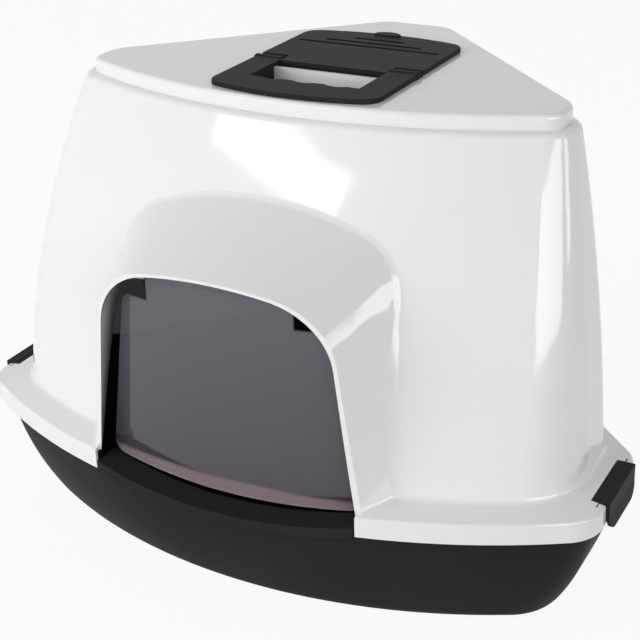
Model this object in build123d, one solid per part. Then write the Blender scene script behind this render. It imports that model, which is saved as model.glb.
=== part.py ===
from build123d import *
import os
from math import sqrt

# A covered litter box that stands in the corner of a room. The origin is on the floor in the middle
# of the box, +Z is up, the doorway faces -Y and the blunt back corner points to +Y. Millimetres.

# Overall size
WIDTH = 572.0              # across the short sides of the hood's rim
HEIGHT = 400.0             # floor to the flat top of the hood
FRONT_BOW = 86.7           # how far the rim's front bows out beyond its ends
SIDE_LONG = 102.8          # length of each short side of the rim
BACK_WIDE = 91.0           # width of the blunt back corner between the 45 degree sides

# Moulded walls and fits
WALL = 2.5
RUNNING = 0.05             # radial gap of a pin in a hole that turns on it
PART_GAP = 0.4             # gap between pieces that only lie beside each other
RIM_GAP = 1.0              # gap between the hood's skirt and the base's lip
LEAST_ROUND = 1.0          # smallest rounding of a corner in plan
ROUND_SHARE = 0.6          # share of its radius that a rounding takes from the side beside it
NEAR = 0.01                # points closer than this count as the same

# Hood rim
SEAT = 117.0               # height at which the hood rests on the base
SKIRT = 17.3               # height of the white band round the rim
LEDGE_RISE = 4.5           # rise of the ledge from the band to the foot of the wall
RIM_ROUND = 35.0
RIM_EDGE = 2.0             # rounding of the ledge's outer edge
LEDGE_BLEND = 5.0          # rounding between ledge and wall

# Hood wall: how far each height lies inside the rim at the side, the front and the back
WALL_ARC_LESS = 15.0       # the wall is bowed on a radius this much under the rim's
WAIST_Z = 250.0
PLATEAU_STEP = 12.0        # height of the raised flat top above the shoulder
FOOT_SIDE = 24.0
FOOT_FRONT = 26.0
FOOT_BACK = 20.0
FOOT_ROUND = 62.0
WAIST_SIDE = 36.0
WAIST_FRONT = 58.0
WAIST_BACK = 23.0
WAIST_ROUND = 48.0
SHOULDER_SIDE = 64.0
SHOULDER_FRONT = 125.0
SHOULDER_BACK = 29.0
SHOULDER_ROUND = 30.0
PLATEAU_ARC_LESS = 36.0    # and the flat top this much
PLATEAU_SIDE = 72.0
PLATEAU_FRONT = 131.5
PLATEAU_BACK = 33.0
PLATEAU_ROUND = 18.0
SIDE_ROUND = 30.0
BACK_ROUND = 26.0
SHOULDER_EDGE = 7.0        # rounding between wall and shoulder
PLATEAU_EDGE = 4.0         # rounding of the flat top

# Porch: the arch at its mouth, and where it has grown into the wall
MOUTH_SET = 6.0            # how far the mouth stands behind the front of the rim
PORCH_DEPTH = 84.0         # from the mouth back to where the crown of the porch meets the wall
MOUTH_FOOT = 119.6         # half width at the foot of the mouth
FOOT_FLARE = 0.65          # how much the foot widens for each millimetre back into the wall
MOUTH_CORNER = 97.9        # half width at the upper corners
MOUTH_CORNER_Z = 274.3
MOUTH_TOP = 294.0
PORCH_CORNER = 119.5       # half width at the upper corners there
PORCH_CORNER_Z = 299.5
PORCH_TOP = 328.0
PORCH_TAIL = 34.0          # how far the porch runs on inside the wall
PORCH_ROUND = 62.0
PORCH_BLEND = 9.0          # rounding between porch and wall

# Door flap and its rod
FLAP_SET = 23.0            # front of the flap behind the front of the rim
FLAP_THICK = 2.5
FLAP_FOOT = 116.0          # half width at the bottom corners
FLAP_SHOULDER = 91.0       # half width at the shoulders
FLAP_SHOULDER_Z = 260.0
FLAP_TONGUE = 65.0         # half width of the hinge tongue
FLAP_CORNER_Z = 111.0
FLAP_BOTTOM_Z = 105.5
FLAP_SHOULDER_ROUND = 8.0
FLAP_CORNER_ROUND = 10.0
DOOR_AXIS_Z = 285.0
DOOR_AXIS_SET = 4.0        # rod axis behind the front of the flap
DOOR_ROD_R = 2.5
DOOR_BARREL_R = 5.0
DOOR_LUG = 9.0             # width of each lug along the rod
DOOR_LUG_R = 6.5

# Base pan
BASE_LIP = 14.0            # height of the lip inside the skirt
BASE_WALL_SET = 4.5        # base wall inside the lip
BASE_WAIST_Z = 52.0
BASE_WAIST = 12.5          # base wall drawn in at mid height
BASE_FOOT = 38.5           # base wall drawn in at the floor
BASE_ROUND = 48.0          # rounding of the front corners
BASE_EDGE = 22.0           # rounding of the bottom
BASE_FLOOR = 3.0
SILL_Z = 100.5             # top of the sill in the middle of the doorway
SILL_DISH = 9.0            # rise of the sill towards its ends
SILL_DEEP = 24.0
SILL_THICK = 9.0
SILL_GAP = 1.5             # sill ends clear of the porch

# Well in the top, with the hand bay in front and the filter bay behind
WELL_HALF = 66.0
WELL_AHEAD = 72.0          # front wall ahead of the top rod's axis
WELL_BEHIND = 91.0         # rear wall behind it
BAY_WALL_AHEAD = 14.0      # front face of the wall between the bays, ahead of the axis
HAND_DEPTH = 27.0
FILTER_DEPTH = 22.0
AIR_SLOTS = 6
AIR_SLOT_WIDE = 5.0
AIR_SLOT_MARGIN = 9.0

# Top plate: carry handle and vent cover on one rod
PLATE_HALF = 76.0
PLATE_AHEAD = 81.0         # front corners of the plate ahead of the rod's axis
PLATE_FRONT_BOW = 12.0
PLATE_BEHIND = 95.0        # rear corners behind it
PLATE_BACK_BOW = 11.0
PLATE_THICK = 3.6
PLATE_ROUND = 16.0
PLATE_EDGE = 1.2
SPLIT_BEHIND = 10.0        # the cover's wide part starts this far behind the axis
TOP_AXIS_SET = 98.5        # rod axis behind the front edge of the flat top
TOP_AXIS_DROP = 3.0        # rod axis below the flat top
TOP_ROD_R = 2.5
KNUCKLE_R = 8.2            # rounded end of each handle arm
COVER_BARREL_R = 5.0
ARM_INNER = 50.0           # half width of the hand hole
GRIP_AHEAD = 57.0          # rear edge of the front grip ahead of the axis
GRIP_WAVES = 3
GRIP_WAVE_R = 17.0
GRIP_WAVE_PITCH = 29.0
GRIP_WAVE_DEEP = 3.0
HANDLE_SKIRT = 15.0        # depth of the walls round the hand hole
TONGUE_AHEAD = 7.0         # front edge of the cover between the arms, ahead of the axis
SLIT_WIDE = 5.0
SLIT_BEHIND = (83.0, 71.0, 60.0)
SLIT_HALF = (24.0, 46.0, 67.0)
TAB_HALF = 11.5
TAB_R = 17.0
TAB_RISE = 1.5
FILTER_THICK = 9.0
FILTER_GAP = 3.0

# Side latches
LATCH_FROM_FRONT = 23.8    # notch in the rim behind the front end of the short side
LATCH_FROM_BACK = 12.0     # and ahead of its rear end
LATCH_AXIS_SET = 6.0       # pin axis inside the rim
LATCH_AXIS_DROP = 1.0      # pin axis below the ledge's outer edge
LATCH_PIN_R = 2.0
LATCH_BARREL_R = 3.6
LATCH_BARREL_END = 4.0     # barrel ends inside the ends of the plate
LATCH_PLATE = 2.6
LATCH_TALL = 26.0
LATCH_FLARE = 1.5
LATCH_TOP_RISE = 2.0       # top of the latch above the ledge's outer edge
LATCH_TOP_WIDE = 10.0
LATCH_ROUND = 14.0
LATCH_EAR = 6.0            # thickness of the ears that hold the pin
LATCH_EAR_R = 5.0

# Heights and places worked out from the sizes above
crest = SEAT + WALL
rim_bottom = crest - SKIRT
foot_z = crest + LEDGE_RISE
shoulder_z = HEIGHT - PLATEAU_STEP
half = WIDTH / 2
depth = FRONT_BOW + SIDE_LONG + half - BACK_WIDE / 2
front = -depth / 2
back_reach = (depth + BACK_WIDE) / 2
rim_arc = (half**2 + FRONT_BOW**2) / (2 * FRONT_BOW)
rim_centre = front + rim_arc
wall_arc = rim_arc - WALL_ARC_LESS
plateau_arc = rim_arc - PLATEAU_ARC_LESS
mouth_y = front + MOUTH_SET
mouth_arc = rim_arc - MOUTH_SET
mouth_foot_y = rim_centre - sqrt(mouth_arc**2 - MOUTH_FOOT**2)
flap_front = front + FLAP_SET
flap_centre = flap_front + wall_arc
door_axis_y = flap_front + DOOR_AXIS_SET
lip_set = WALL + RIM_GAP
lip_bottom = SEAT - BASE_LIP
top_axis_y = front + PLATEAU_FRONT + TOP_AXIS_SET
top_axis_z = HEIGHT - TOP_AXIS_DROP
well_front = top_axis_y - WELL_AHEAD
well_back = top_axis_y + WELL_BEHIND
bay_wall_y = top_axis_y - BAY_WALL_AHEAD
plate_front = top_axis_y - PLATE_AHEAD
plate_back = top_axis_y + PLATE_BEHIND
plate_z = HEIGHT + PART_GAP
plate_top = plate_z + PLATE_THICK
plate_end = plate_back + PLATE_BACK_BOW
grip_y = top_axis_y - GRIP_AHEAD
latch_x = half - LATCH_AXIS_SET
latch_z = crest - LATCH_AXIS_DROP
latch_front = front + FRONT_BOW + LATCH_FROM_FRONT
latch_back = front + FRONT_BOW + SIDE_LONG - LATCH_FROM_BACK
latch_long = latch_back - latch_front
notch_reach = sqrt((LATCH_TOP_WIDE / 2) ** 2 + (LATCH_AXIS_DROP + LATCH_TOP_RISE) ** 2) + PART_GAP
pin_front = latch_front - LATCH_EAR
pin_back = latch_back + LATCH_EAR
door_rod_end = FLAP_TONGUE + PART_GAP + DOOR_LUG
top_rod_end = PLATE_HALF + PART_GAP + WALL
hand_floor = HEIGHT - HAND_DEPTH
filter_floor = HEIGHT - FILTER_DEPTH
filter_front = bay_wall_y + WALL
filter_near = top_axis_y + KNUCKLE_R + FILTER_GAP
filter_back = well_back - FILTER_GAP


def plan(side, front_in, back, arc, front_round, z, inset=0.0):
    """Outline of the box, drawn in from the rim, at height z."""
    x = half - side - inset
    y = front + front_in + inset
    reach = back_reach - (back + inset) * sqrt(2)
    chamfer = depth / 2 - back - inset
    radius = arc - inset
    bow_end = y + radius - sqrt(radius**2 - x**2)
    side_end = reach - x
    corner = reach - chamfer
    bow = ThreePointArc((-x, bow_end), (0, y), (x, bow_end))
    rest = Polyline(
        (x, bow_end), (x, side_end), (corner, chamfer), (-corner, chamfer), (-x, side_end), (-x, bow_end)
    )
    face = make_face(bow + rest)
    side_fit = min(1.0, (side_end - bow_end) / (ROUND_SHARE * (front_round + SIDE_ROUND)))
    back_fit = min(1.0, corner / (ROUND_SHARE * BACK_ROUND))
    roundings = (
        (bow_end, front_round * side_fit),
        (side_end, SIDE_ROUND * side_fit),
        (chamfer, BACK_ROUND * back_fit),
    )
    for level, rounding in roundings:
        corners = [v for v in face.vertices() if abs(v.Y - level) < NEAR]
        face = fillet(corners, max(rounding - inset, LEAST_ROUND))
    return Pos(0, 0, z) * face


def rim_plan(z, inset=0.0):
    return plan(0, 0, 0, rim_arc, RIM_ROUND, z, inset)


def base_plan(z, drawn, inset=0.0):
    return plan(drawn, drawn, drawn, rim_arc - drawn, BASE_ROUND, z, inset)


def foot_plan(z, inset=0.0):
    return plan(FOOT_SIDE, FOOT_FRONT, FOOT_BACK, wall_arc, FOOT_ROUND, z, inset)


def waist_plan(z, inset=0.0):
    return plan(WAIST_SIDE, WAIST_FRONT, WAIST_BACK, wall_arc, WAIST_ROUND, z, inset)


def shoulder_plan(z, inset=0.0):
    return plan(SHOULDER_SIDE, SHOULDER_FRONT, SHOULDER_BACK, wall_arc, SHOULDER_ROUND, z, inset)


def plateau_plan(z, inset=0.0):
    return plan(PLATEAU_SIDE, PLATEAU_FRONT, PLATEAU_BACK, plateau_arc, PLATEAU_ROUND, z, inset)


def block(low, high):
    """Box between two corners."""
    size = [b - a for a, b in zip(low, high)]
    middle = [(a + b) / 2 for a, b in zip(low, high)]
    return Pos(*middle) * Box(*size)


def rod_x(radius, x0, x1, y, z):
    """Round bar along X."""
    return Pos((x0 + x1) / 2, y, z) * Rot(0, 90, 0) * Cylinder(radius, x1 - x0)


def rod_y(radius, y0, y1, x, z):
    """Round bar along Y."""
    return Pos(x, (y0 + y1) / 2, z) * Rot(90, 0, 0) * Cylinder(radius, y1 - y0)


def on_level(edge, z):
    """True for an edge that lies flat at height z."""
    box = edge.bounding_box()
    return abs(box.min.Z - z) < NEAR and abs(box.max.Z - z) < NEAR


def arch(y, grow, bottom):
    """Outline of the porch across Y, widening from the mouth back into the wall."""
    share = (y - mouth_y) / PORCH_DEPTH
    foot = MOUTH_FOOT + FOOT_FLARE * (y - mouth_foot_y) + grow
    corner = MOUTH_CORNER + (PORCH_CORNER - MOUTH_CORNER) * share + grow
    corner_z = MOUTH_CORNER_Z + (PORCH_CORNER_Z - MOUTH_CORNER_Z) * share + grow
    top = MOUTH_TOP + (PORCH_TOP - MOUTH_TOP) * share + grow
    crown = ThreePointArc((-corner, corner_z), (0, top), (corner, corner_z))
    legs = Polyline((corner, corner_z), (foot, bottom), (-foot, bottom), (-corner, corner_z))
    face = make_face(crown + legs)
    corners = [v for v in face.vertices() if abs(v.Y - corner_z) < NEAR]
    return Plane((0, y, 0), x_dir=(1, 0, 0), z_dir=(0, -1, 0)) * fillet(corners, PORCH_ROUND)


def porch(grow, bottom):
    """Solid of the porch from in front of the mouth to inside the wall."""
    near = mouth_y - 2 * MOUTH_SET
    far = mouth_y + PORCH_DEPTH + PORCH_TAIL
    return loft([arch(near, grow, bottom), arch(far, grow, bottom)], ruled=True)


def porch_seam(edge):
    """True for the curve where the porch meets the wall."""
    middle = edge @ 0.5
    from_mouth = mouth_arc - (Vector(0, rim_centre) - Vector(middle.X, middle.Y)).length
    ahead = middle.Y < mouth_y + PORCH_DEPTH + PORCH_TAIL
    beside = abs(middle.X) < MOUTH_FOOT + FOOT_FLARE * PORCH_DEPTH
    curved = edge.geom_type != GeomType.LINE
    return curved and ahead and beside and from_mouth > WALL and middle.Z > foot_z


def ledge_seam(edge):
    """True for the curve where the ledge meets the foot of the wall or of the porch."""
    box = edge.bounding_box()
    return box.min.Z > crest + PART_GAP and box.max.Z < foot_z + LEDGE_RISE


def make_hood():
    """White shell in one piece: wall, flat top, rim, porch, well, door lugs and latch ears."""
    wall = loft([foot_plan(crest), waist_plan(WAIST_Z), shoulder_plan(shoulder_z)])
    wall = fillet(wall.faces().sort_by(Axis.Z)[-1].edges(), SHOULDER_EDGE)
    flat_top = extrude(plateau_plan(shoulder_z - WALL), PLATEAU_STEP + WALL)
    flat_top = fillet(flat_top.faces().sort_by(Axis.Z)[-1].edges(), PLATEAU_EDGE)
    rim = extrude(rim_plan(rim_bottom), SKIRT)
    rim += loft([rim_plan(crest), foot_plan(foot_z, WALL)], ruled=True)
    rim = fillet(rim.edges().filter_by(lambda e: on_level(e, crest)), RIM_EDGE)
    trim = Pos(0, rim_centre, rim_bottom) * extrude(Circle(mouth_arc), HEIGHT)
    shell = wall + (porch(WALL, crest) & trim)
    shell = fillet(shell.edges().filter_by(porch_seam), PORCH_BLEND)
    shell = shell + flat_top + rim
    shell = fillet(shell.edges().filter_by(ledge_seam), LEDGE_BLEND)

    room = loft([
        foot_plan(rim_bottom, WALL),
        waist_plan(WAIST_Z, WALL),
        shoulder_plan(shoulder_z - WALL, WALL),
    ])
    room += extrude(plateau_plan(shoulder_z - 2 * WALL, WALL), PLATEAU_STEP + WALL)
    room += extrude(rim_plan(rim_bottom, WALL), SEAT - rim_bottom)
    room += porch(0, rim_bottom)
    shell -= room
    shell -= block((-MOUTH_FOOT, 2 * front, rim_bottom), (MOUTH_FOOT, 0, foot_z + LEDGE_RISE)) - trim

    well = block(
        (-WELL_HALF - WALL, well_front - WALL, hand_floor - WALL),
        (WELL_HALF + WALL, well_back + WALL, HEIGHT - WALL),
    )
    pocket_half = PLATE_HALF + PART_GAP
    pocket_low = top_axis_z - KNUCKLE_R - PART_GAP
    pocket_y = KNUCKLE_R + PART_GAP
    well += block(
        (-pocket_half - WALL, top_axis_y - pocket_y - WALL, pocket_low - WALL),
        (pocket_half + WALL, top_axis_y + pocket_y + WALL, HEIGHT - WALL),
    )
    shell += well
    above = HEIGHT + PLATE_THICK
    shell -= block((-WELL_HALF, well_front, hand_floor), (WELL_HALF, bay_wall_y, above))
    shell -= block((-WELL_HALF, filter_front, filter_floor), (WELL_HALF, well_back, above))
    shell -= block(
        (-WELL_HALF, filter_front, hand_floor - 2 * WALL),
        (WELL_HALF, well_back + 2 * WALL, filter_floor - WALL),
    )
    shell -= block(
        (-pocket_half, top_axis_y - pocket_y, pocket_low), (pocket_half, top_axis_y + pocket_y, above)
    )
    slot_pitch = (filter_back - filter_near) / AIR_SLOTS
    slot_half = WELL_HALF - AIR_SLOT_MARGIN
    for k in range(AIR_SLOTS):
        y = filter_near + (k + 0.5) * slot_pitch
        shell -= block(
            (-slot_half, y - AIR_SLOT_WIDE / 2, filter_floor - 2 * WALL),
            (slot_half, y + AIR_SLOT_WIDE / 2, filter_floor + WALL),
        )
    shell -= rod_x(TOP_ROD_R, -top_rod_end, top_rod_end, top_axis_y, top_axis_z)

    inside_porch = porch(WALL / 2, rim_bottom) & trim
    for side in (-1, 1):
        lug_near = FLAP_TONGUE + PART_GAP
        lug_x = sorted((side * lug_near, side * (lug_near + DOOR_LUG)))
        lug = rod_x(DOOR_LUG_R, *lug_x, door_axis_y, DOOR_AXIS_Z)
        lug += block(
            (lug_x[0], door_axis_y - DOOR_LUG_R, DOOR_AXIS_Z),
            (lug_x[1], door_axis_y + DOOR_LUG_R, PORCH_TOP),
        )
        shell += lug & inside_porch
    shell -= rod_x(DOOR_ROD_R, -door_rod_end, door_rod_end, door_axis_y, DOOR_AXIS_Z)

    for side in (-1, 1):
        x = side * latch_x
        notch_x = sorted((x - side * notch_reach, side * (half + WALL)))
        shell -= block(
            (notch_x[0], latch_front, rim_bottom - WALL), (notch_x[1], latch_back, foot_z + WALL)
        )
        for end, out in ((latch_front, -1), (latch_back, 1)):
            ends = sorted((end, end + out * LATCH_EAR))
            ear = rod_y(LATCH_EAR_R, *ends, x, latch_z)
            ear += block((x - LATCH_EAR_R, ends[0], latch_z), (x + LATCH_EAR_R, ends[1], crest))
            shell += ear & block((-half, front, rim_bottom), (half, depth / 2, crest))
        shell -= rod_y(LATCH_PIN_R, pin_front, pin_back, x, latch_z)
    return shell


def make_base():
    """Charcoal tray with a lip inside the hood's skirt and a sill below the doorway."""
    wall_in = lip_set + BASE_WALL_SET
    tray = loft([
        base_plan(0, wall_in + BASE_FOOT),
        base_plan(BASE_WAIST_Z, wall_in + BASE_WAIST),
        base_plan(lip_bottom, wall_in),
    ])
    tray = fillet(tray.faces().sort_by(Axis.Z)[0].edges(), BASE_EDGE)
    tray += extrude(rim_plan(lip_bottom, lip_set), BASE_LIP)
    hollow = loft([
        base_plan(BASE_FLOOR, wall_in + BASE_FOOT, WALL),
        base_plan(BASE_WAIST_Z, wall_in + BASE_WAIST, WALL),
        base_plan(lip_bottom, wall_in, WALL),
    ])
    hollow = fillet(hollow.faces().sort_by(Axis.Z)[0].edges(), BASE_EDGE - WALL)
    hollow += extrude(base_plan(lip_bottom, wall_in, WALL), BASE_LIP)

    doorway = MOUTH_FOOT + WALL + SILL_GAP
    sill_half = MOUTH_FOOT - SILL_GAP
    for side in (-1, 1):
        x = sorted((side * sill_half, side * doorway))
        tray -= block((x[0], 2 * front, rim_bottom - PART_GAP), (x[1], 0, SEAT))
    sill_end = SILL_Z + SILL_DISH
    top = ThreePointArc((-sill_half, sill_end), (0, SILL_Z), (sill_half, sill_end))
    low = ThreePointArc(
        (-sill_half, sill_end - SILL_THICK), (0, SILL_Z - SILL_THICK), (sill_half, sill_end - SILL_THICK)
    )
    left = Line((-sill_half, sill_end - SILL_THICK), (-sill_half, sill_end))
    right = Line((sill_half, sill_end - SILL_THICK), (sill_half, sill_end))
    facing = Plane((0, front, 0), x_dir=(1, 0, 0), z_dir=(0, -1, 0))
    sill = extrude(facing * make_face(top + low + left + right), -depth / 2)
    above = Polyline((sill_half, sill_end), (sill_half, SEAT), (-sill_half, SEAT), (-sill_half, sill_end))
    tray -= extrude(facing * make_face(top + above), -depth / 2)
    ring = Circle(rim_arc) - Circle(rim_arc - SILL_DEEP)
    sill = sill & (Pos(0, rim_centre, 0) * extrude(ring, HEIGHT))
    tray = tray - hollow + sill

    ear_y = LATCH_EAR + PART_GAP
    latch_low = latch_z - LATCH_EAR_R - PART_GAP
    for side in (-1, 1):
        x = sorted((side * (latch_x - notch_reach), side * (half + WALL)))
        tray -= block((x[0], latch_front - ear_y, latch_low), (x[1], latch_back + ear_y, SEAT))
    return tray


def make_flap():
    """Smoked flap, bowed in plan, with a bored barrel along its hinge tongue."""
    bottom = ThreePointArc((-FLAP_FOOT, FLAP_CORNER_Z), (0, FLAP_BOTTOM_Z), (FLAP_FOOT, FLAP_CORNER_Z))
    sides = Polyline(
        (FLAP_FOOT, FLAP_CORNER_Z),
        (FLAP_SHOULDER, FLAP_SHOULDER_Z),
        (FLAP_TONGUE, FLAP_SHOULDER_Z),
        (FLAP_TONGUE, DOOR_AXIS_Z),
        (-FLAP_TONGUE, DOOR_AXIS_Z),
        (-FLAP_TONGUE, FLAP_SHOULDER_Z),
        (-FLAP_SHOULDER, FLAP_SHOULDER_Z),
        (-FLAP_FOOT, FLAP_CORNER_Z),
    )
    face = make_face(bottom + sides)
    corners = [v for v in face.vertices() if abs(v.Y - FLAP_CORNER_Z) < NEAR]
    face = fillet(corners, FLAP_CORNER_ROUND)
    shoulders = [v for v in face.vertices() if abs(abs(v.X) - FLAP_SHOULDER) < NEAR]
    face = fillet(shoulders, FLAP_SHOULDER_ROUND)
    facing = Plane((0, front, 0), x_dir=(1, 0, 0), z_dir=(0, -1, 0))
    slab = extrude(facing * face, -depth / 2)
    ring = Circle(wall_arc) - Circle(wall_arc - FLAP_THICK)
    sheet = slab & (Pos(0, flap_centre, 0) * extrude(ring, HEIGHT))
    sheet += rod_x(DOOR_BARREL_R, -FLAP_TONGUE, FLAP_TONGUE, door_axis_y, DOOR_AXIS_Z)
    return sheet - rod_x(DOOR_ROD_R + RUNNING, -WIDTH, WIDTH, door_axis_y, DOOR_AXIS_Z)


def top_plate():
    """Rounded plate that the handle and the vent cover are cut from."""
    near = ThreePointArc(
        (-PLATE_HALF, plate_front), (0, plate_front - PLATE_FRONT_BOW), (PLATE_HALF, plate_front)
    )
    far = ThreePointArc((-PLATE_HALF, plate_back), (0, plate_end), (PLATE_HALF, plate_back))
    left = Line((-PLATE_HALF, plate_front), (-PLATE_HALF, plate_back))
    right = Line((PLATE_HALF, plate_front), (PLATE_HALF, plate_back))
    outline = make_face(near + far + left + right)
    outline = fillet(outline.vertices(), PLATE_ROUND)
    plate = extrude(Pos(0, 0, plate_z) * outline, PLATE_THICK)
    return fillet(plate.faces().sort_by(Axis.Z)[-1].edges(), PLATE_EDGE)


def make_handle():
    """Black handle: front grip with finger waves and two arms that end in knuckles on the rod."""
    handle = top_plate() & block((-WIDTH, front, plate_z), (WIDTH, top_axis_y, HEIGHT + WIDTH))
    skirt_low = plate_z - HANDLE_SKIRT
    handle += block(
        (-ARM_INNER - WALL, grip_y - GRIP_WAVE_DEEP - WALL, skirt_low),
        (ARM_INNER + WALL, bay_wall_y - WALL, plate_z + WALL),
    )
    handle -= block(
        (-ARM_INNER, grip_y, skirt_low - WALL), (ARM_INNER, top_axis_y + WALL, plate_top + WALL)
    )
    for k in range(GRIP_WAVES):
        x = (k - (GRIP_WAVES - 1) / 2) * GRIP_WAVE_PITCH
        wave_y = grip_y + GRIP_WAVE_R - GRIP_WAVE_DEEP
        wave = Pos(x, wave_y, plate_z) * Cylinder(GRIP_WAVE_R, WIDTH)
        handle -= wave & block(
            (-ARM_INNER, grip_y - GRIP_WAVE_DEEP, skirt_low - WALL),
            (ARM_INNER, grip_y, plate_top + WALL),
        )
    for side in (-1, 1):
        ends = sorted((side * (ARM_INNER + PART_GAP), side * PLATE_HALF))
        handle += rod_x(KNUCKLE_R, *ends, top_axis_y, top_axis_z)
    return handle - rod_x(TOP_ROD_R + RUNNING, -WIDTH, WIDTH, top_axis_y, top_axis_z)


def make_cover():
    """Black vent cover with air slits, a thumb tab behind and a barrel on the rod."""
    tongue = ARM_INNER - PART_GAP
    split_y = top_axis_y + SPLIT_BEHIND
    cover = top_plate() & (
        block((-WIDTH, split_y, plate_z), (WIDTH, depth, HEIGHT + WIDTH))
        + block((-tongue, top_axis_y - TONGUE_AHEAD, plate_z), (tongue, split_y, HEIGHT + WIDTH))
    )
    tab = Pos(0, plate_end + TAB_RISE - TAB_R, plate_z) * extrude(Circle(TAB_R), PLATE_THICK + TAB_RISE)
    cover += tab & block((-TAB_HALF, plate_end - TAB_R / 2, plate_z), (TAB_HALF, depth, HEIGHT + WIDTH))
    for behind, slit_half in zip(SLIT_BEHIND, SLIT_HALF):
        slit = Pos(0, top_axis_y + behind, plate_z - WALL) * SlotOverall(2 * slit_half, SLIT_WIDE)
        cover -= extrude(slit, PLATE_THICK + 2 * WALL)
    cover += rod_x(COVER_BARREL_R, -tongue, tongue, top_axis_y, top_axis_z)
    return cover - rod_x(TOP_ROD_R + RUNNING, -WIDTH, WIDTH, top_axis_y, top_axis_z)


def make_filter():
    """Felt pad with active carbon, lying on the slotted floor of its bay."""
    low = (-WELL_HALF + FILTER_GAP, filter_near, filter_floor)
    high = (WELL_HALF - FILTER_GAP, filter_back, filter_floor + FILTER_THICK)
    pad = block(low, high)
    return fillet(pad.edges().filter_by(Axis.Z), FILTER_GAP)


def make_latch(side):
    """Black side latch: a plate over the rim, bored for its pin."""
    inner = latch_x - LATCH_TOP_WIDE / 2
    outer = half + PART_GAP
    top = crest + LATCH_TOP_RISE
    low = top - LATCH_TALL
    shape = Polyline(
        (inner, top),
        (outer + LATCH_PLATE, top),
        (outer + LATCH_PLATE, top - LATCH_TALL / 2),
        (outer + LATCH_PLATE + LATCH_FLARE, low),
        (outer + LATCH_FLARE, low),
        (outer, top - LATCH_TALL / 2),
        (outer, top - LATCH_PLATE),
        (inner, top - LATCH_PLATE),
        (inner, top),
    )
    facing = Plane((0, latch_back - PART_GAP, 0), x_dir=(1, 0, 0), z_dir=(0, -1, 0))
    plate = extrude(facing * make_face(shape), latch_long - 2 * PART_GAP)
    tips = plate.edges().filter_by(Axis.X).filter_by(lambda e: on_level(e, low))
    plate = fillet(tips, LATCH_ROUND)
    ends = (latch_front + LATCH_BARREL_END, latch_back - LATCH_BARREL_END)
    plate += rod_y(LATCH_BARREL_R, *ends, latch_x, latch_z)
    plate -= rod_y(LATCH_PIN_R + RUNNING, front, depth, latch_x, latch_z)
    return plate if side > 0 else mirror(plate, Plane.YZ)


def main():
    os.makedirs("parts", exist_ok=True)
    nodes = {
        "base_pan": make_base(),
        "hood": make_hood(),
        "door_flap": make_flap(),
        "door_hinge_rod": rod_x(DOOR_ROD_R, -door_rod_end, door_rod_end, door_axis_y, DOOR_AXIS_Z),
        "carry_handle": make_handle(),
        "vent_cover": make_cover(),
        "top_hinge_rod": rod_x(TOP_ROD_R, -top_rod_end, top_rod_end, top_axis_y, top_axis_z),
        "carbon_filter": make_filter(),
        "latch_right": make_latch(1),
        "latch_left": make_latch(-1),
        "latch_pin_right": rod_y(LATCH_PIN_R, pin_front, pin_back, latch_x, latch_z),
        "latch_pin_left": rod_y(LATCH_PIN_R, pin_front, pin_back, -latch_x, latch_z),
    }
    for name, solid in nodes.items():
        solid.label = name
        export_step(solid, f"parts/{name}.step")


main()
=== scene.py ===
from math import cos, radians, sin

import bpy
from mathutils import Matrix, Vector


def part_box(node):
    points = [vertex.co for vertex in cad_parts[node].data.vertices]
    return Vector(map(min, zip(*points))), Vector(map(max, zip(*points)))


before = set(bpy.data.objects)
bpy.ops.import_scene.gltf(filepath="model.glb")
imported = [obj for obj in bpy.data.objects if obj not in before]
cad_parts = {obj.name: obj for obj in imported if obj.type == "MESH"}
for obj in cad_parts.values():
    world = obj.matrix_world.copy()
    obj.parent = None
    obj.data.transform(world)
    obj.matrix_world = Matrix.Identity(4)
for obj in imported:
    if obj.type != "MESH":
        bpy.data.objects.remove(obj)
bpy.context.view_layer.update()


# Base pan: the charcoal tray that holds the litter. It is injection moulded in one piece of
# polypropylene, satin outside, with a lip all round on which the hood stands.
def moulded(name, colour, drift, roughness, specular, grain, grain_height):
    """Moulded plastic: its colour drifts a little over the piece and its skin has a fine grain."""
    finish = bpy.data.materials.new(name)
    finish.use_nodes = True
    nodes, links = finish.node_tree.nodes, finish.node_tree.links
    shader = nodes["Principled BSDF"]
    shader.inputs["Roughness"].default_value = roughness
    shader.inputs["Specular IOR Level"].default_value = specular
    place = nodes.new("ShaderNodeTexCoord")
    clouds = nodes.new("ShaderNodeTexNoise")
    clouds.inputs["Scale"].default_value = 9.0
    clouds.inputs["Detail"].default_value = 2.0
    tint = nodes.new("ShaderNodeValToRGB")
    darker, lighter = tint.color_ramp.elements
    darker.position = 0.3
    darker.color = (*[c * (1 - drift) for c in colour], 1)
    lighter.position = 0.7
    lighter.color = (*[min(1, c * (1 + drift)) for c in colour], 1)
    speckle = nodes.new("ShaderNodeTexNoise")
    speckle.inputs["Scale"].default_value = grain
    bump = nodes.new("ShaderNodeBump")
    bump.inputs["Strength"].default_value = 1.0
    bump.inputs["Distance"].default_value = grain_height
    links.new(place.outputs["Object"], clouds.inputs["Vector"])
    links.new(clouds.outputs["Fac"], tint.inputs["Fac"])
    links.new(tint.outputs["Color"], shader.inputs["Base Color"])
    links.new(place.outputs["Object"], speckle.inputs["Vector"])
    links.new(speckle.outputs["Fac"], bump.inputs["Height"])
    links.new(bump.outputs["Normal"], shader.inputs["Normal"])
    return finish


def paint(node, finish):
    """Gives a solid its finish."""
    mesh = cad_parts[node].data
    mesh.materials.clear()
    mesh.materials.append(finish)


charcoal = moulded(
    "charcoal_satin",
    colour=(0.0246, 0.0240, 0.0236),
    drift=0.10,
    roughness=0.46,
    specular=0.012,
    grain=900.0,
    grain_height=0.00002,
)
paint("base_pan", charcoal)


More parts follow.
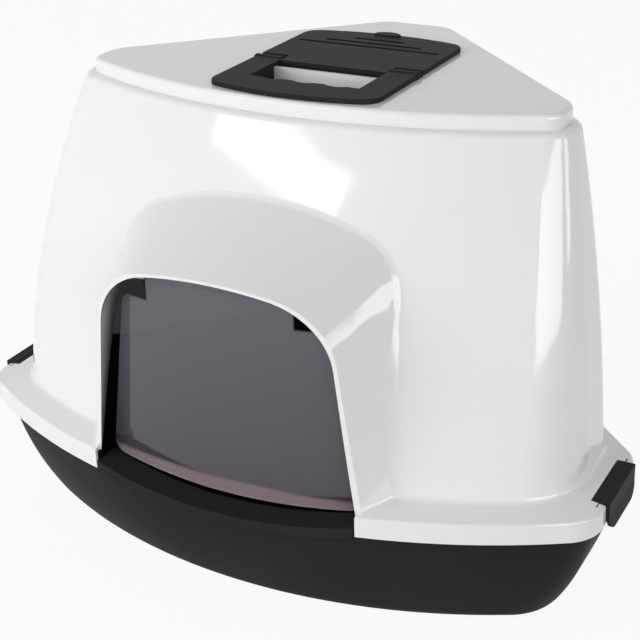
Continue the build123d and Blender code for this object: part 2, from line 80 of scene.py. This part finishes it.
# Hood: the white shell that closes the tray, moulded in one piece with its rim, porch, flat top
# and the well for handle and filter. Its skin is glossy, with the faint waviness of a large moulding.
white = moulded(
    "white_gloss",
    colour=(0.800, 0.798, 0.790),
    drift=0.012,
    roughness=0.10,
    specular=0.50,
    grain=60.0,
    grain_height=0.00001,
)
paint("hood", white)


# Door rod: the thin rod between two lugs under the porch on which the flap hangs.
# It is plain black plastic, pushed in from the side.
black = moulded(
    "black_grained",
    colour=(0.0225, 0.0208, 0.0206),
    drift=0.12,
    roughness=0.48,
    specular=0.03,
    grain=1100.0,
    grain_height=0.00003,
)
paint("door_hinge_rod", black)


# Door flap: a smoked sheet of clear plastic, bowed like the hood's front, with its hinge barrel
# moulded along the tongue at its top. Its foot shows as a paler band. The smoke's tint is its own,
# but it is painted darker low down and lighter towards the top: painted shade and painted light for
# the dark tray and the lit inside of the hood that lie behind the sheet.
FOOT_BAND = 0.055          # share of the flap's height that the pale foot takes up
FOOT_FADE = 0.020          # share over which the foot passes into the smoke above it
FOOT_LOW = (0.66, 0.55, 0.60, 1)
FOOT_HIGH = (0.64, 0.53, 0.58, 1)
# The two smoke colours below are painted shade low on the sheet and painted light at its top.
SHADED_SMOKE_LOW = (0.18, 0.158, 0.195, 1)
LIT_SMOKE_HIGH = (0.29, 0.285, 0.335, 1)
smoked = bpy.data.materials.new("smoked_clear")
smoked.use_nodes = True
smoke_nodes, smoke_links = smoked.node_tree.nodes, smoked.node_tree.links
smoke = smoke_nodes["Principled BSDF"]
smoke.inputs["Roughness"].default_value = 0.03
smoke.inputs["IOR"].default_value = 1.49
smoke.inputs["Transmission Weight"].default_value = 0.72
smoke_place = smoke_nodes.new("ShaderNodeTexCoord")
smoke_axes = smoke_nodes.new("ShaderNodeSeparateXYZ")
smoke_height = smoke_nodes.new("ShaderNodeMapRange")
flap_low, flap_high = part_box("door_flap")
smoke_height.inputs["From Min"].default_value = flap_low.z
smoke_height.inputs["From Max"].default_value = flap_high.z
smoke_tint = smoke_nodes.new("ShaderNodeValToRGB")
smoke_steps = smoke_tint.color_ramp.elements
smoke_steps[0].color = FOOT_LOW
smoke_steps[1].color = LIT_SMOKE_HIGH
smoke_steps.new(FOOT_BAND).color = FOOT_HIGH
smoke_steps.new(FOOT_BAND + FOOT_FADE).color = SHADED_SMOKE_LOW
smoke_links.new(smoke_place.outputs["Object"], smoke_axes.inputs["Vector"])
smoke_links.new(smoke_axes.outputs["Z"], smoke_height.inputs["Value"])
smoke_links.new(smoke_height.outputs["Result"], smoke_tint.inputs["Fac"])
smoke_links.new(smoke_tint.outputs["Color"], smoke.inputs["Base Color"])
paint("door_flap", smoked)


# Top rod: the rod in the well of the flat top on which the handle and the vent cover turn.
# It is black plastic, like the pieces on it.
paint("top_hinge_rod", black)


# Carbon filter: a pad of needled felt loaded with active carbon, cut to the bay it lies in.
# It rests loose on the bay's slotted floor, under the vent cover.
felt = moulded(
    "carbon_felt",
    colour=(0.020, 0.020, 0.021),
    drift=0.35,
    roughness=0.95,
    specular=0.10,
    grain=420.0,
    grain_height=0.0006,
)
paint("carbon_filter", felt)


# Vent cover: the slotted black lid over the filter, moulded in grained plastic with a barrel
# through which the top rod runs, and a thumb tab at its rear edge.
paint("vent_cover", black)


# Carry handle: the black bail in front of the cover, of the same grained plastic, with finger
# waves along its grip. Its two arms end in knuckles on the same rod.
paint("carry_handle", black)


# Side latches: two black clips of the same grained plastic that swing on pins in notches of the
# hood's rim and close over the tray's lip.
for side in ("right", "left"):
    paint("latch_" + side, black)
    paint("latch_pin_" + side, black)


# Studio: a pale floor, a soft sky that is dimmer overhead, a key and a fill lamp from the front,
# and three soft boxes that stand where their reflections show on the hood.
FLOOR_SIZE = 30.0
FLOOR_WHITE = 0.92         # share of plain white in the floor that is seen, the rest keeps the shadow
PLAIN_WHITE = (1, 1, 1, 1)
SKY_STRENGTH = 0.88
SKY_TOP = (0.28, 0.28, 0.29, 1)
SKY_TOP_HEIGHT = 0.9       # where the sky has dimmed, from 0 at the horizon to 1 overhead
LAMP_AIM = Vector((0, -0.05, 0.28))


def seen_itself(nodes, links):
    """1 for rays from the camera and rays off glossy or through clear pieces, 0 for plain light."""
    rays = nodes.new("ShaderNodeLightPath")
    seen = nodes.new("ShaderNodeMath")
    seen.operation = "MAXIMUM"
    shown = nodes.new("ShaderNodeMath")
    shown.operation = "MAXIMUM"
    links.new(rays.outputs["Is Camera Ray"], seen.inputs[0])
    links.new(rays.outputs["Is Glossy Ray"], seen.inputs[1])
    links.new(seen.outputs["Value"], shown.inputs[0])
    links.new(rays.outputs["Is Transmission Ray"], shown.inputs[1])
    return shown.outputs["Value"]


bpy.ops.object.select_all(action="DESELECT")
bpy.ops.mesh.primitive_plane_add(size=FLOOR_SIZE, location=(0, 0, 0))
floor = bpy.context.object
floor.name = "studio_floor"
paper = bpy.data.materials.new("pale_paper")
paper.use_nodes = True
paper_nodes, paper_links = paper.node_tree.nodes, paper.node_tree.links
paper_shader = paper_nodes["Principled BSDF"]
paper_shader.inputs["Base Color"].default_value = (0.90, 0.90, 0.90, 1)
paper_shader.inputs["Roughness"].default_value = 0.9
paper_shader.inputs["Specular IOR Level"].default_value = 0.0
paper_glow = paper_nodes.new("ShaderNodeEmission")
paper_glow.inputs["Color"].default_value = PLAIN_WHITE
paper_glow.inputs["Strength"].default_value = 1.0
paper_share = paper_nodes.new("ShaderNodeMath")
paper_share.operation = "MULTIPLY"
paper_share.inputs[1].default_value = FLOOR_WHITE
paper_mix = paper_nodes.new("ShaderNodeMixShader")
paper_links.new(seen_itself(paper_nodes, paper_links), paper_share.inputs[0])
paper_links.new(paper_share.outputs["Value"], paper_mix.inputs["Fac"])
paper_links.new(paper_shader.outputs["BSDF"], paper_mix.inputs[1])
paper_links.new(paper_glow.outputs["Emission"], paper_mix.inputs[2])
paper_links.new(paper_mix.outputs["Shader"], paper_nodes["Material Output"].inputs["Surface"])
floor.data.materials.append(paper)

sky = bpy.data.worlds.new("studio_sky")
bpy.context.scene.world = sky
sky.use_nodes = True
sky_nodes, sky_links = sky.node_tree.nodes, sky.node_tree.links
sky_light = sky_nodes["Background"]
sky_light.inputs["Strength"].default_value = SKY_STRENGTH
sky_place = sky_nodes.new("ShaderNodeTexCoord")
sky_axes = sky_nodes.new("ShaderNodeSeparateXYZ")
sky_shade = sky_nodes.new("ShaderNodeValToRGB")
horizon, overhead = sky_shade.color_ramp.elements
horizon.color = PLAIN_WHITE
overhead.position = SKY_TOP_HEIGHT
overhead.color = SKY_TOP
sky_white = sky_nodes.new("ShaderNodeBackground")
sky_white.inputs["Color"].default_value = PLAIN_WHITE
sky_white.inputs["Strength"].default_value = 1.0
sky_mix = sky_nodes.new("ShaderNodeMixShader")
sky_links.new(sky_place.outputs["Generated"], sky_axes.inputs["Vector"])
sky_links.new(sky_axes.outputs["Z"], sky_shade.inputs["Fac"])
sky_links.new(sky_shade.outputs["Color"], sky_light.inputs["Color"])
sky_links.new(seen_itself(sky_nodes, sky_links), sky_mix.inputs["Fac"])
sky_links.new(sky_light.outputs["Background"], sky_mix.inputs[1])
sky_links.new(sky_white.outputs["Background"], sky_mix.inputs[2])
sky_links.new(sky_mix.outputs["Shader"], sky_nodes["World Output"].inputs["Surface"])


def soft_box(name, azimuth, elevation, distance, wide, tall, watts):
    """Rectangular lamp that faces the hood, seen from there at this azimuth and elevation."""
    a, e = radians(azimuth), radians(elevation)
    out = Vector((sin(a) * cos(e), -cos(a) * cos(e), sin(e)))
    lamp = bpy.data.objects.new(name, bpy.data.lights.new(name, "AREA"))
    lamp.data.shape = "RECTANGLE"
    lamp.data.size = wide
    lamp.data.size_y = tall
    lamp.data.energy = watts
    lamp.location = LAMP_AIM + out * distance
    lamp.rotation_euler = out.to_track_quat("Z", "Y").to_euler()
    bpy.context.scene.collection.objects.link(lamp)
    return lamp


key_box = soft_box("key_box", azimuth=-40, elevation=17, distance=3.5, wide=2.4, tall=1.2, watts=44.0)
key_box.visible_glossy = False
fill_box = soft_box("fill_box", azimuth=46, elevation=12, distance=3.5, wide=2.0, tall=1.2, watts=22.0)
fill_box.visible_glossy = False
soft_box("window_box", azimuth=-30, elevation=34, distance=2.6, wide=1.5, tall=0.30, watts=9.0)
strip_box = soft_box("strip_box", azimuth=63, elevation=17, distance=2.4, wide=1.8, tall=1.3, watts=38.0)
strip_box.visible_diffuse = False
side_box = soft_box("side_box", azimuth=98, elevation=14, distance=2.4, wide=0.34, tall=0.8, watts=4.6)
side_box.visible_diffuse = False


# Camera: a long lens above the box, to the right of its front. It is rolled a little, and its
# picture is shifted so that the box fills the frame.
EYE = Vector((0.5496, -1.0390, 0.7304))
AZIMUTH, ELEVATION, ROLL = radians(27.82), radians(24.25), radians(-1.38)
SENSOR_WIDE = 36.0
LENS = 82.46
SHIFT_X, SHIFT_Y = -0.0225, -0.0415
back = Vector((sin(AZIMUTH) * cos(ELEVATION), -cos(AZIMUTH) * cos(ELEVATION), sin(ELEVATION)))
level = Vector((cos(AZIMUTH), sin(AZIMUTH), 0))
rise = back.cross(level)
right = level * cos(ROLL) + rise * sin(ROLL)
up = rise * cos(ROLL) - level * sin(ROLL)
camera = bpy.data.objects.new("camera", bpy.data.cameras.new("camera"))
bpy.context.scene.collection.objects.link(camera)
camera.data.sensor_width = SENSOR_WIDE
camera.data.lens = LENS
camera.data.shift_x = SHIFT_X
camera.data.shift_y = SHIFT_Y
camera.matrix_world = Matrix.Translation(EYE) @ Matrix((right, up, back)).transposed().to_4x4()
bpy.context.scene.camera = camera
bpy.context.scene.view_settings.view_transform = "Standard"
